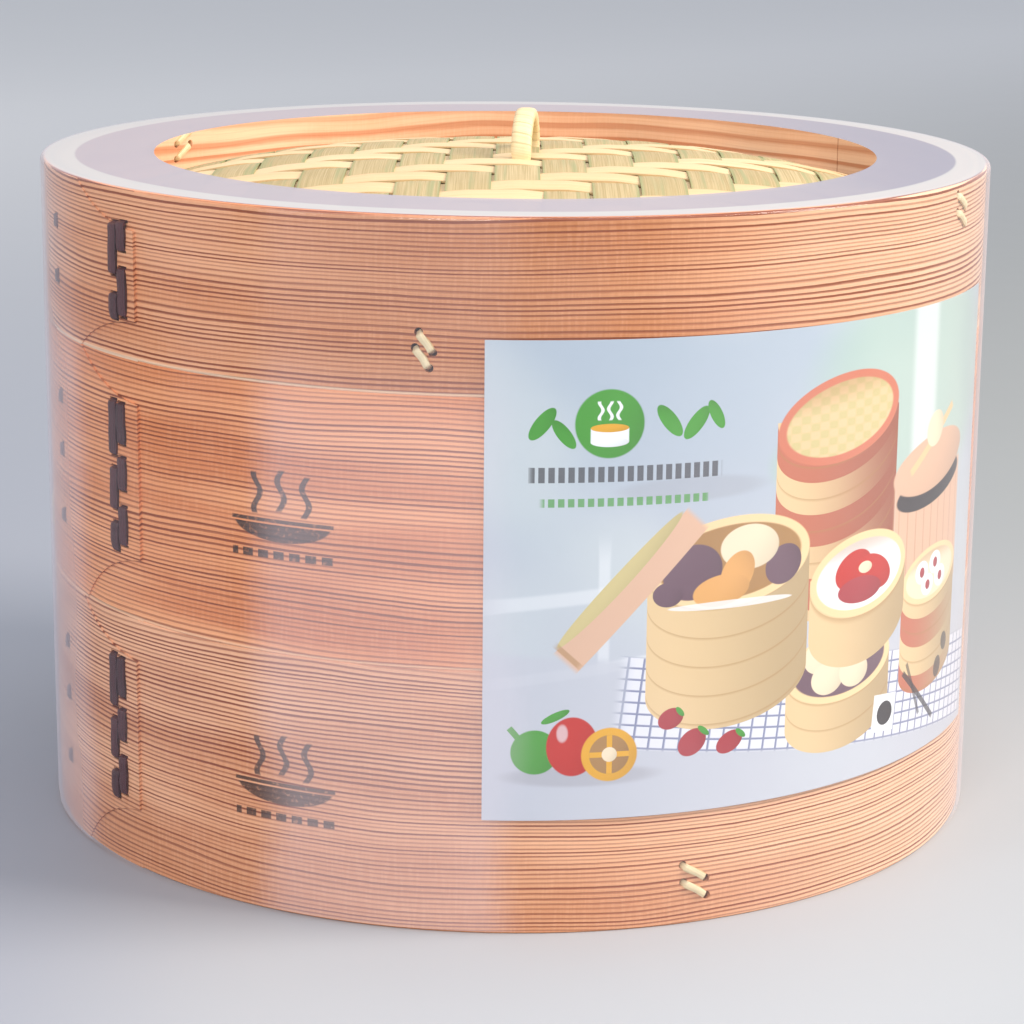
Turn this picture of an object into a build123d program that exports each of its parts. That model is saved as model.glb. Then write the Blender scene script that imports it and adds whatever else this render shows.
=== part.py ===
"""Round two-tier steamer with a woven lid, in its shrink film.

Frame: millimetres, +Z up, origin at the centre of the bottom rim, front towards -Y.
An azimuth is counted from the front (-Y) and is positive towards the right (+X).
Each tier is a bent fir hoop, laced where its ends lap, round a support ring, a slatted
floor and a liner hoop. The liner stands above the rim as a spigot, and the next tier
or the lid drops over it.
"""

import math
import os

from build123d import *

os.makedirs("parts", exist_ok=True)

# driving sizes
rim_radius = 150.0  # outside of every fir hoop
hoop_wall = 4.5
edge_ease = 0.4  # chamfer along the rims of hoops and rings
tier_height = 79.0
lid_height = 50.0
liner_radius = 145.0  # outside of the liners and rings, 0.5 mm inside the hoops
liner_wall = 4.5
spigot_height = 5.5  # how far a liner stands above its hoop
socket_radius = 145.9  # rebate at the foot of each hoop, over the spigot below
socket_depth = 6.5

# floor of a tier, as heights above the tier's own foot
ring_top = 22.0
bearer_size = (10.0, 8.0)  # width, depth
bearer_rows = (-75.0, 0.0, 75.0)
slat_width, slat_thick, slat_pitch, slat_count = 9.0, 2.6, 14.5, 19
peg_radius, peg_length = 1.1, 7.0
fit_gap = 0.2  # between pieces that only rest on each other

# the lap where a hoop's ends overlap
lap_ends = {"lower_tier": -48.1, "upper_tier": -46.9, "lid": -47.0}  # azimuths of the tongues' ends
lap_start = -70.5  # azimuth where the tongue rises out of the hoop
lap_rise = 0.9  # how far the tongue's end stands proud
corner_run = 34.0  # length of the cut at each corner of the tongue

# lacing and bamboo ties
strap_width, strap_thick = 4.2, 0.7
tier_columns, lid_columns = (12.6, 8.1), (10.3, 5.7)  # distance of each from the tongue's end
tack_azimuth = -68.5
tack_size = (3.0, 5.0)  # width, height
tie_width, tie_thick = 2.2, 0.7
tie_hole = 1.25  # radius, round the corners of a strip's leg

# woven lid, as heights above the lid's own foot
weave_radius = 144.6
weave_edge, weave_apex = 30.0, 49.2
weave_fullness = 3.0  # 2 is a parabola, more is flatter on top
mat_thick, lining_thick, layer_gap = 2.0, 0.4, 0.1
rib_width, rib_thick, rib_rows = 10.0, 2.5, (-48.0, 48.0)

# handle
handle_turn = 85.0  # direction of the arch about Z, from +X
handle_spot = (3.3, 8.0)  # middle of the arch
handle_half_span = 17.0
handle_rise = 12.0  # centre line above the weave
core_width, core_thick = 4.2, 2.0
wrap_width, wrap_thick = 5.8, 3.8
leg_drop = 10.5  # length of leg below the weave's top

# shrink film and its paper label
film_radius = 152.0
film_thick = 0.3
film_foot = 1.0
film_hole_radius = 115.5
label_radius, label_thick = 151.6, 0.25
label_azimuths = (-3.0, 72.0)
label_heights = (35.0, 174.5)

lid_foot = 2 * tier_height
rim_top = lid_foot + lid_height
hoop_inner = rim_radius - hoop_wall
liner_inner = liner_radius - liner_wall
bearer_top = ring_top
slat_top = ring_top + slat_thick


def polar(radius, azimuth):
    """Point in plan at that radius and azimuth."""
    turn = math.radians(azimuth - 90)
    return (radius * math.cos(turn), radius * math.sin(turn))


def wall_plane(azimuth, height, radius=0.0):
    """Plane on a hoop's wall: local x runs to the right, y up, z outwards."""
    x, y = polar(radius, azimuth)
    turn = math.radians(azimuth - 90)
    return Plane(
        origin=(x, y, height),
        x_dir=(-math.sin(turn), math.cos(turn), 0),
        z_dir=(math.cos(turn), math.sin(turn), 0),
    )


def save(builder, name):
    """Label a finished piece and write its STEP file."""
    builder.part.label = name
    export_step(builder.part, f"parts/{name}.step")


def dome(radius, drop=0.0):
    """Height of the woven lid's upper face above the lid's foot, lowered by drop."""
    share = (radius / weave_radius) ** weave_fullness
    return weave_edge + (weave_apex - weave_edge) * (1 - share) - drop


# lacing and ties

# each strap: column (0 left, 1 right), top and bottom as heights above the foot
tier_lacing = (
    (0, 66.5, 48.5),
    (1, 66.0, 52.5),
    (1, 49.5, 38.5),
    (0, 46.0, 32.0),
    (1, 34.5, 21.5),
    (0, 29.0, 19.5),
)
lid_lacing = (
    (0, 40.5, 24.0),
    (1, 41.0, 31.5),
    (1, 27.5, 12.0),
    (0, 19.5, 11.0),
)
tier_tacks = (59.0, 42.0, 21.0)
lid_tacks = (34.5, 17.5)
# each kind of tie: height, slant below level, strip length, and the upper strip's step from
# the lower one, along the wall and up
tier_tie = (13.1, 33.0, 9.6, -0.3, 5.4)
lid_lower_tie = (12.9, 55.0, 7.6, 1.0, 4.4)
lid_upper_tie = (42.0, 33.0, 9.6, -0.3, 5.2)


def strap_azimuth(lap_end, distance):
    """Azimuth of a lacing column that far from the tongue's end."""
    return lap_end - math.degrees(distance / rim_radius)


def band(plane, length, width, thick, inner, outer):
    """Closed band through a wall: runs inside and outside, joined by two legs."""
    with BuildPart() as loop:
        with BuildSketch(plane.offset(inner - thick)):
            Rectangle(width, length)
        extrude(amount=outer - inner + 2 * thick)
        with BuildSketch(plane.offset(inner)):
            Rectangle(width * 2, length - 2 * thick)
        extrude(amount=outer - inner, mode=Mode.SUBTRACT)
    return loop.part


def slots(plane, length, width, thick, inner, outer, ease=0.1):
    """The two holes that a band's legs need, a little larger than the legs."""
    with BuildPart() as holes:
        with BuildSketch(plane.offset(inner)):
            with Locations((0, (length - thick) / 2), (0, -(length - thick) / 2)):
                Rectangle(width + 2 * ease, thick + 2 * ease)
        extrude(amount=outer - inner)
    return holes.part


def leg_holes(plane, length, inner, outer):
    """The two round holes that a tie strip's legs go through."""
    with BuildPart() as holes:
        with BuildSketch(plane.offset(inner)):
            with Locations((0, (length - tie_thick) / 2), (0, -(length - tie_thick) / 2)):
                Circle(tie_hole)
        extrude(amount=outer - inner)
    return holes.part


def stitches(foot, lap_end, columns, lacing, tacks):
    """Plane, length, width and outer face of every stitch in a lap."""
    found = []
    for column, top, bottom in lacing:
        azimuth = strap_azimuth(lap_end, columns[column])
        plane = wall_plane(azimuth, foot + (top + bottom) / 2)
        found.append((plane, top - bottom, strap_width, rim_radius + 0.85))
    for height in tacks:
        plane = wall_plane(tack_azimuth, foot + height)
        found.append((plane, tack_size[1], tack_size[0], rim_radius + 0.2))
    return found


def tie_strips(foot, kind, azimuths):
    """Plane and length of the two slanting strips of each tie, local y along the strip."""
    height, slant, length, shift, rise = kind
    strips = []
    for azimuth in azimuths:
        for side in (0.5, -0.5):
            turn = azimuth + math.degrees(side * shift / rim_radius)
            plane = wall_plane(turn, foot + height + side * rise)
            strips.append((Plane(plane.location * Rotation(0, 0, 90 - slant)), length))
    return strips


tie_inner, tie_outer = liner_inner - 0.1, rim_radius + 0.1


def save_ties(name, strips):
    """One node holding every bamboo tie of a ring."""
    with BuildPart() as ties:
        for plane, length in strips:
            add(band(plane, length, tie_width, tie_thick, tie_inner, tie_outer))
    save(ties, name)


def save_stitches(name, found):
    """One node holding the stitches of a lap."""
    inner = liner_radius + 0.9
    with BuildPart() as lacing:
        for plane, length, width, outer in found:
            add(band(plane, length, width, strap_thick, inner, outer))
    save(lacing, name)


# hoops and rings


def tongue_corner(foot, height, lap_end, upper, drop):
    """The waste cut from one corner of the outer tongue, outside the hoop."""
    edge = foot + height if upper else foot
    side = -1 if upper else 1
    with BuildPart() as waste:
        with BuildSketch(wall_plane(lap_end - 7.5, 0, rim_radius - 6)) as outline:
            shift = 7.5 * math.radians(1) * rim_radius
            with BuildLine():
                start = (shift - corner_run, edge)
                finish = (shift + 1, edge + side * drop)
                middle = (shift - corner_run * 0.45, edge + side * drop * 0.78)
                ThreePointArc(start, middle, finish)
                Line(finish, (shift + 1, edge - side * 2))
                Line((shift + 1, edge - side * 2), (shift - corner_run, edge - side * 2))
                Line((shift - corner_run, edge - side * 2), start)
            make_face()
        extrude(amount=12)
        with BuildSketch(Plane.XY.offset(foot - 5)):
            Circle(rim_radius)
        extrude(amount=height + 10, mode=Mode.SUBTRACT)
    return waste.part


def outer_hoop(foot, height, lap_end, found, ties, corner_drops):
    """A bent fir strip whose outer end laps over its inner end as a tongue."""
    with BuildPart() as hoop:
        with BuildSketch(Plane.XY.offset(foot)):
            Circle(rim_radius)
            Circle(hoop_inner, mode=Mode.SUBTRACT)
        extrude(amount=height)
        chamfer(hoop.edges().filter_by(GeomType.CIRCLE), edge_ease)
        with BuildSketch(Plane.XY.offset(foot)):
            middle = (lap_start + lap_end) / 2
            root = rim_radius - 1
            with BuildLine():
                ThreePointArc(
                    polar(rim_radius, lap_start),
                    polar(rim_radius + lap_rise * 0.5, middle),
                    polar(rim_radius + lap_rise, lap_end),
                )
                Line(polar(rim_radius + lap_rise, lap_end), polar(root, lap_end))
                ThreePointArc(polar(root, lap_end), polar(root, middle), polar(root, lap_start))
                Line(polar(root, lap_start), polar(rim_radius, lap_start))
            make_face()
        extrude(amount=height)
        for upper, drop in zip((True, False), corner_drops):
            add(tongue_corner(foot, height, lap_end, upper, drop), mode=Mode.SUBTRACT)
        with BuildSketch(Plane.XY.offset(foot)):
            Circle(socket_radius)
        extrude(amount=socket_depth, mode=Mode.SUBTRACT)
        for plane, length, width, outer in found:
            # slots for the legs, and a bed for the run along the inner face
            cut = slots(plane, length, width, strap_thick, hoop_inner - 2, rim_radius + 3)
            add(cut, mode=Mode.SUBTRACT)
            with BuildSketch(plane.offset(hoop_inner - 2)):
                Rectangle(width + 0.2, length + 0.2)
            extrude(amount=2.5, mode=Mode.SUBTRACT)
        for plane, length in ties:
            cut = leg_holes(plane, length, hoop_inner - 2, rim_radius + 3)
            add(cut, mode=Mode.SUBTRACT)
    return hoop


def inner_ring(foot, height, seam, ties=(), notches=(), notch_top=0.0, notch_depth=0.0):
    """A bent strip inside a hoop: an open seam, holes for ties and notches for bars."""
    with BuildPart() as ring:
        with BuildSketch(Plane.XY.offset(foot)):
            Circle(liner_radius)
            Circle(liner_inner, mode=Mode.SUBTRACT)
        extrude(amount=height)
        chamfer(ring.edges().filter_by(GeomType.CIRCLE), edge_ease)
        seam_plane = wall_plane(seam, foot + height / 2, liner_inner - 1)
        with BuildSketch(seam_plane):
            Rectangle(0.4, height + 2)
        extrude(amount=liner_wall + 2, mode=Mode.SUBTRACT)
        for plane, length in ties:
            add(leg_holes(plane, length, liner_inner - 2, liner_radius + 2), mode=Mode.SUBTRACT)
        if notches:
            with BuildSketch(Plane.XY.offset(notch_top)):
                for row in notches:
                    with Locations((0, row)):
                        Rectangle(2 * rim_radius, bearer_size[0] + 2 * fit_gap)
            extrude(amount=-notch_depth, mode=Mode.SUBTRACT)
    return ring


# tiers


def peg_spots():
    """Places where a slat crosses a bearer."""
    spots = []
    for row in bearer_rows:
        reach = math.sqrt(liner_radius**2 - row**2) - 8
        for i in range(slat_count):
            x = (i - (slat_count - 1) / 2) * slat_pitch
            if abs(x) < reach:
                spots.append((x, row))
    return spots


def build_tier(name, foot, tie_azimuths, seam):
    """All the pieces of one tier, standing on foot."""
    lap_end = lap_ends[name]
    found = stitches(foot, lap_end, tier_columns, tier_lacing, tier_tacks)
    ties = tie_strips(foot, tier_tie, tie_azimuths)
    hoop = outer_hoop(foot, tier_height, lap_end, found, ties, (13.0, 19.0))
    save(hoop, f"{name}_outer_hoop")
    straps = len(tier_lacing)
    save_stitches(f"{name}_hoop_lacing", found[:straps])
    save_stitches(f"{name}_hoop_tacks", found[straps:])
    save_ties(f"{name}_ring_ties", ties)

    ring_height = ring_top - socket_depth
    notch = bearer_size[1] + fit_gap
    ring = inner_ring(
        foot + socket_depth, ring_height, seam + 170, ties, bearer_rows, foot + ring_top, notch
    )
    save(ring, f"{name}_support_ring")

    with BuildPart() as bearers:
        with BuildSketch(Plane.XY.offset(foot + bearer_top)):
            with Locations(*[(0, row) for row in bearer_rows]):
                Rectangle(2 * rim_radius, bearer_size[0])
            Circle(liner_radius - 0.4, mode=Mode.INTERSECT)
        extrude(amount=-bearer_size[1])
        with Locations(*[(x, y, foot + bearer_top) for x, y in peg_spots()]):
            Cylinder(
                peg_radius + 0.02,
                2 * (peg_length - slat_thick),
                mode=Mode.SUBTRACT,
            )
    save(bearers, f"{name}_bearers")

    with BuildPart() as slats:
        with BuildSketch(Plane.XY.offset(foot + ring_top)):
            with GridLocations(slat_pitch, 0, slat_count, 1):
                Rectangle(slat_width, 2 * rim_radius)
            Circle(liner_radius - 0.5, mode=Mode.INTERSECT)
        extrude(amount=slat_thick)
        chamfer(slats.edges().group_by(Axis.Z)[-1].filter_by(Axis.Y), 0.6)
        with Locations(*[(x, y, foot + ring_top) for x, y in peg_spots()]):
            Cylinder(peg_radius + 0.02, 4 * slat_thick, mode=Mode.SUBTRACT)
    save(slats, f"{name}_floor_slats")

    with BuildPart() as pegs:
        with BuildSketch(Plane.XY.offset(foot + slat_top)):
            with Locations(*peg_spots()):
                Circle(peg_radius)
        extrude(amount=-peg_length)
    save(pegs, f"{name}_floor_pegs")

    liner_foot = slat_top + fit_gap
    liner = inner_ring(foot + liner_foot, tier_height + spigot_height - liner_foot, seam)
    save(liner, f"{name}_liner_hoop")


build_tier("lower_tier", 0.0, (21.2, 141.2, -98.8), 100.0)
build_tier("upper_tier", tier_height, (35.0, 155.0, -85.0), 62.0)

# lid


def handle_floor(height):
    """Level plane at a height, local x along the handle's arch from its middle."""
    turn = math.radians(handle_turn)
    return Plane(
        origin=(*handle_spot, height),
        x_dir=(math.cos(turn), math.sin(turn), 0),
        z_dir=(0, 0, 1),
    )


def handle_plane():
    """Upright plane of the handle's arch: local x along the arch, y up."""
    turn = math.radians(handle_turn)
    return Plane(
        origin=(*handle_spot, lid_foot + weave_apex),
        x_dir=(math.cos(turn), math.sin(turn), 0),
        z_dir=(math.sin(turn), -math.cos(turn), 0),
    )


def leg_slots(width, thick, depth, top):
    """Holes for the handle's legs, through a layer of the given depth."""
    with BuildPart() as holes:
        with BuildSketch(handle_floor(top)):
            with Locations((-handle_half_span, 0), (handle_half_span, 0)):
                Rectangle(thick, width)
        extrude(amount=-depth)
    return holes.part


def dome_layer(drop, thick, outer=weave_radius):
    """A layer of revolution that follows the lid's dome, drop below its upper face."""
    steps = 8
    radii = [outer * i / steps for i in range(steps + 1)]
    with BuildPart() as layer:
        with BuildSketch(Plane.XZ):
            with BuildLine():
                upper = [(r, lid_foot + dome(r, drop)) for r in radii]
                lower = [(r, lid_foot + dome(r, drop + thick)) for r in radii]
                Spline(upper, tangents=((1, 0), (1, slope_at(outer))))
                Line(upper[-1], lower[-1])
                Spline(lower, tangents=((1, 0), (1, slope_at(outer))))
                Line(lower[0], upper[0])
            make_face()
        revolve(axis=Axis.Z)
    return layer.part


def slope_at(radius):
    """Slope of the dome at that radius."""
    share = (radius / weave_radius) ** (weave_fullness - 1)
    return -(weave_apex - weave_edge) * weave_fullness / weave_radius * share


def save_mat(name, drop, thick):
    """One layer of the lid's panel, with holes for the handle's legs."""
    with BuildPart() as mat:
        add(dome_layer(drop, thick))
        cut = leg_slots(core_width + 0.4, core_thick + 0.4, 14, lid_foot + weave_apex + 2)
        add(cut, mode=Mode.SUBTRACT)
    save(mat, name)


lid_end = lap_ends["lid"]
lid_stitches = stitches(lid_foot, lid_end, lid_columns, lid_lacing, lid_tacks)
upper_ties = tie_strips(lid_foot, lid_upper_tie, (63.4, -124.4))
lower_ties = tie_strips(lid_foot, lid_lower_tie, (-9.5, 110.5, -129.5))
lid_ties = upper_ties + lower_ties
lid_hoop = outer_hoop(lid_foot, lid_height, lid_end, lid_stitches, lid_ties, (11.7, 11.7))
save(lid_hoop, "lid_outer_hoop")
save_stitches("lid_hoop_lacing", lid_stitches[: len(lid_lacing)])
save_stitches("lid_hoop_tacks", lid_stitches[len(lid_lacing) :])
save_ties("lid_upper_ties", upper_ties)
save_ties("lid_lower_ties", lower_ties)

inner_foot = dome(liner_inner) + fit_gap
lid_inner_hoop = inner_ring(lid_foot + inner_foot, lid_height - inner_foot, 126.5, upper_ties)
save(lid_inner_hoop, "lid_inner_hoop")

mat_drops = [0.0, mat_thick + layer_gap, mat_thick + lining_thick + 2 * layer_gap]
panel_thick = mat_drops[2] + mat_thick
save_mat("lid_outer_weave", mat_drops[0], mat_thick)
save_mat("lid_leaf_lining", mat_drops[1], lining_thick)
save_mat("lid_inner_weave", mat_drops[2], mat_thick)

clamp_top = dome(weave_radius, panel_thick) - fit_gap
clamp = inner_ring(
    lid_foot + socket_depth,
    clamp_top - socket_depth,
    -40.0,
    lower_ties,
    rib_rows,
    lid_foot + clamp_top,
    rib_thick + 2.6,
)
save(clamp, "lid_clamp_ring")

for side, row in zip(("front", "back"), rib_rows):
    with BuildPart() as rib:
        add(dome_layer(panel_thick + fit_gap, rib_thick, weave_radius - 0.3))
        with BuildSketch(Plane.XY.offset(lid_foot)):
            with Locations((0, row)):
                Rectangle(2 * rim_radius, rib_width)
        extrude(amount=2 * lid_height, mode=Mode.INTERSECT)
    save(rib, f"lid_{side}_rib")

# handle: a bent core strip, its wrapping, the keeper under the lid and two wedge pegs
keeper_thick, keeper_half = 3.0, 26.0
keeper_reach = math.hypot(*handle_spot) + keeper_half
keeper_top = lid_foot + dome(keeper_reach, panel_thick) - fit_gap
with BuildPart() as core:
    with BuildLine(handle_plane()) as core_path:
        Line((-handle_half_span, -leg_drop), (-handle_half_span, 0))
        EllipticalCenterArc((0, 0), handle_half_span, handle_rise, 180, arc_size=-180)
        Line((handle_half_span, 0), (handle_half_span, -leg_drop))
    foot_plane = Plane(
        origin=core_path.line @ 0,
        x_dir=handle_plane().z_dir,
        z_dir=core_path.line % 0,
    )
    with BuildSketch(foot_plane):
        Rectangle(core_width, core_thick)
    sweep(path=core_path.line)
    peg_floor = handle_floor(keeper_top - keeper_thick - 1.3).location
    for side in (-1, 1):
        with Locations(peg_floor * Location((side * handle_half_span, 0, 0))):
            Cylinder(1.02, 20, rotation=(0, 90, 0), mode=Mode.SUBTRACT)
save(core, "lid_handle_core")

with BuildPart() as wrap:
    with BuildLine(handle_plane()) as wrap_path:
        EllipticalCenterArc((0, 0), handle_half_span, handle_rise, 178, arc_size=-176)
    start_plane = Plane(
        origin=wrap_path.line @ 0,
        x_dir=handle_plane().z_dir,
        z_dir=wrap_path.line % 0,
    )
    with BuildSketch(start_plane):
        RectangleRounded(wrap_width, wrap_thick, 1.2)
        Rectangle(core_width + 0.1, core_thick + 0.1, mode=Mode.SUBTRACT)
    sweep(path=wrap_path.line)
save(wrap, "lid_handle_wrap")

with BuildPart() as keeper:
    with BuildSketch(handle_floor(keeper_top)):
        SlotOverall(2 * keeper_half, 10)
    extrude(amount=-keeper_thick)
    cut = leg_slots(core_width + 0.2, core_thick + 0.2, 20, keeper_top + 5)
    add(cut, mode=Mode.SUBTRACT)
save(keeper, "lid_handle_keeper")

with BuildPart() as wedges:
    for side in (-1, 1):
        with Locations(peg_floor * Location((side * handle_half_span, 0, 0))):
            Cylinder(1.0, 9, rotation=(0, 90, 0))
save(wedges, "lid_keeper_pegs")

# shrink film and label

film_top = rim_top + 0.35
with BuildPart() as film_wall:
    with BuildSketch(Plane.XY.offset(film_foot)):
        Circle(film_radius + film_thick)
        Circle(film_radius, mode=Mode.SUBTRACT)
    extrude(amount=film_top - film_foot)
save(film_wall, "film_wall")

with BuildPart() as film_collar:
    with BuildSketch(Plane.XY.offset(film_top)):
        Circle(film_radius + film_thick)
        Circle(film_hole_radius, mode=Mode.SUBTRACT)
    extrude(amount=film_thick)
save(film_collar, "film_collar")

with BuildPart() as label:
    with BuildSketch(Plane.XY.offset(label_heights[0])):
        outer = label_radius + label_thick
        left, right = label_azimuths
        middle = (left + right) / 2
        with BuildLine():
            ThreePointArc(polar(outer, left), polar(outer, middle), polar(outer, right))
            Line(polar(outer, right), polar(label_radius, right))
            ThreePointArc(
                polar(label_radius, right), polar(label_radius, middle), polar(label_radius, left)
            )
            Line(polar(label_radius, left), polar(outer, left))
        make_face()
    extrude(amount=label_heights[1] - label_heights[0])
save(label, "film_label")
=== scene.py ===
import math
import random

import bmesh
import bpy
from mathutils import Matrix, Vector


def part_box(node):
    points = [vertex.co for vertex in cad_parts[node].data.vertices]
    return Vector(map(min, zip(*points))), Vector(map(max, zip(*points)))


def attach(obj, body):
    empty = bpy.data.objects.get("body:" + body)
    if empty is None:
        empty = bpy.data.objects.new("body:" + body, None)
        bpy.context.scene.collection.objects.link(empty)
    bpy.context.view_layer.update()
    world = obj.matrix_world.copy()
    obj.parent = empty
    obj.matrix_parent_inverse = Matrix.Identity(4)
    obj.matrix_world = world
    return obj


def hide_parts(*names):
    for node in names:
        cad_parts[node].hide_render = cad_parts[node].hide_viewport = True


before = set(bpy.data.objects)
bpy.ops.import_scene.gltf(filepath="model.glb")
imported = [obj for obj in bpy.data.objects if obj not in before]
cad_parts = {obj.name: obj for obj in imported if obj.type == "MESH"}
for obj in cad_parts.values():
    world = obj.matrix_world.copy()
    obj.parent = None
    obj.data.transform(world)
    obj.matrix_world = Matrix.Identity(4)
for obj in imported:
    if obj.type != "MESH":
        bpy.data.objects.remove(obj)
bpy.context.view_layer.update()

mm = 0.001

# places that everything else hangs on, read from the frame
hoopLow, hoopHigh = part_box("lower_tier_outer_hoop")
lidLow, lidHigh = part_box("lid_outer_hoop")
weaveLow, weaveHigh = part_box("lid_outer_weave")
innerLow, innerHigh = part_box("lid_inner_weave")
labelLow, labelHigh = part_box("film_label")
filmLow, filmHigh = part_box("film_wall")
wrapLow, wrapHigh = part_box("lid_handle_wrap")
hoopRadius = hoopHigh.x
rimTop = lidHigh.z


# node trees written as sums


class Wire:
    # one socket of a node tree; sums on it add Math nodes
    def __init__(self, tree, socket=None):
        self.tree = tree
        self.socket = socket

    def node(self, kind, settings=None, sockets=None, out=0):
        made = self.tree.nodes.new(kind)
        for name, value in (settings or {}).items():
            setattr(made, name, value)
        for name, value in (sockets or {}).items():
            if isinstance(value, Wire):
                self.tree.links.new(value.socket, made.inputs[name])
            else:
                made.inputs[name].default_value = value
        return Wire(self.tree, made.outputs[out])

    def other(self, out):
        # another output of the node that this socket is on
        return Wire(self.tree, self.socket.node.outputs[out])

    def math(self, operation, *values):
        sockets = dict(enumerate((self, *values)))
        return self.node("ShaderNodeMath", {"operation": operation}, sockets)

    def flipped(self, operation, value):
        return self.node("ShaderNodeMath", {"operation": operation}, {0: value, 1: self})

    def __add__(self, value):
        return self.math("ADD", value)

    def __sub__(self, value):
        return self.math("SUBTRACT", value)

    def __rsub__(self, value):
        return self.flipped("SUBTRACT", value)

    def __mul__(self, value):
        return self.math("MULTIPLY", value)

    def __truediv__(self, value):
        return self.math("DIVIDE", value)

    def __rtruediv__(self, value):
        return self.flipped("DIVIDE", value)

    def __pow__(self, value):
        return self.math("POWER", value)

    def __lt__(self, value):
        return self.math("LESS_THAN", value)

    def __gt__(self, value):
        return self.math("GREATER_THAN", value)

    __radd__ = __add__
    __rmul__ = __mul__

    def rise(self, low, high, first=0.0, last=1.0):
        # first below low, last above high, and a smooth step between
        names = {"Value": self, "From Min": low, "From Max": high, "To Min": first, "To Max": last}
        return self.node("ShaderNodeMapRange", {"interpolation_type": "SMOOTHSTEP"}, names)

    def vector(self, operation, *values, out=0):
        sockets = dict(enumerate((self, *values)))
        return self.node("ShaderNodeVectorMath", {"operation": operation}, sockets, out)

    def scaled(self, x, y, z):
        return self.vector("MULTIPLY", (x, y, z))

    def parts(self):
        x = self.node("ShaderNodeSeparateXYZ", sockets={0: self})
        return x, x.other(1), x.other(2)

    def joined(self, x, y, z):
        return self.node("ShaderNodeCombineXYZ", sockets={0: x, 1: y, 2: z})

    def noise(self, scale=1.0, detail=2.0, roughness=0.5, out=0):
        names = {"Vector": self, "Scale": scale, "Detail": detail, "Roughness": roughness}
        return self.node("ShaderNodeTexNoise", sockets=names, out=out)

    def chance(self):
        # one steady random number for each whole value
        return self.node("ShaderNodeTexWhiteNoise", {"noise_dimensions": "1D"}, {"W": self})

    def blend(self, first, last, how="MIX"):
        # colour between two, this socket saying how far
        settings = {"data_type": "RGBA", "blend_type": how}
        return self.node("ShaderNodeMix", settings, {0: self, 6: first, 7: last}, out=2)

    def bump(self, distance, strength=1.0):
        names = {"Height": self, "Distance": distance, "Strength": strength}
        return self.node("ShaderNodeBump", sockets=names)


def paint(code):
    # "#rrggbb" as a linear colour
    found = []
    for start in (1, 3, 5):
        value = int(code[start:start + 2], 16) / 255
        found.append(value / 12.92 if value < 0.04045 else ((value + 0.055) / 1.055) ** 2.4)
    return (*found, 1.0)


def startMaterial(name):
    # the material, and the place of a point in millimetres
    material = bpy.data.materials.new(name)
    material.use_nodes = True
    material.node_tree.nodes.clear()
    wire = Wire(material.node_tree)
    place = wire.node("ShaderNodeTexCoord", out=3).vector("SCALE")
    place.socket.node.inputs["Scale"].default_value = 1000.0
    return material, place


def endMaterial(material, surface):
    out = surface.tree.nodes.new("ShaderNodeOutputMaterial")
    surface.tree.links.new(surface.socket, out.inputs["Surface"])
    return material


def principled(wire, **sockets):
    names = {key.replace("_", " "): value for key, value in sockets.items()}
    return wire.node("ShaderNodeBsdfPrincipled", sockets=names)


def dress(node, material):
    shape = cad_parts[node]
    if not shape.material_slots:
        shape.data.materials.append(material)
    for slot in shape.material_slots:
        slot.material = material


# fir

# the last row of each look: how far painted light pales the wood towards the right; dim: how brown its
# middle is; edge: how strong a painted highlight along its foot is
firLook = {
    "lid": {
        "seed": 3.0, "pale": "#f2b488", "deep": "#d98c59", "line": "#86401a",
        "spacing": 1.4, "uneven": 1.5, "sway": 1.3, "strength": 1.0,
        "rightLight": 0.6, "dim": 0.6, "edge": 0.7, "mark": None,
    },
    "upper": {
        "seed": 17.0, "pale": "#fab27e", "deep": "#da844e", "line": "#87401a",
        "spacing": 1.45, "uneven": 1.1, "sway": 1.9, "strength": 1.0,
        "rightLight": 0.0, "dim": 0.0, "edge": 0.4, "mark": "#1d1310",
    },
    "lower": {
        "seed": 41.0, "pale": "#f6bc92", "deep": "#d79266", "line": "#864226",
        "spacing": 1.42, "uneven": 1.4, "sway": 2.4, "strength": 1.0,
        "rightLight": 0.5, "dim": 0.0, "edge": 0.0, "mark": "#3c2318",
    },
    "inner": {
        "seed": 63.0, "pale": "#f1cbaa", "deep": "#dfaa84", "line": "#b5683a",
        "spacing": 4.6, "uneven": 1.0, "sway": 0.8, "strength": 0.75,
        "rightLight": 0.0, "dim": 0.0, "edge": 0.0, "mark": None,
    },
}
# tints: painted light towards the right, the brown of the wood's middle, a painted highlight along the
# foot
firTints = {"litRight": "#f8dec0", "brown": "#b9743f", "cut": "#f6d9b6"}
markLook = {
    "azimuth": -26.0,  # degrees from the front
    "height": 43.5,  # of the mark's middle above the tier's foot, mm
    "width": 33.0, "stroke": 1.5,
}


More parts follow.
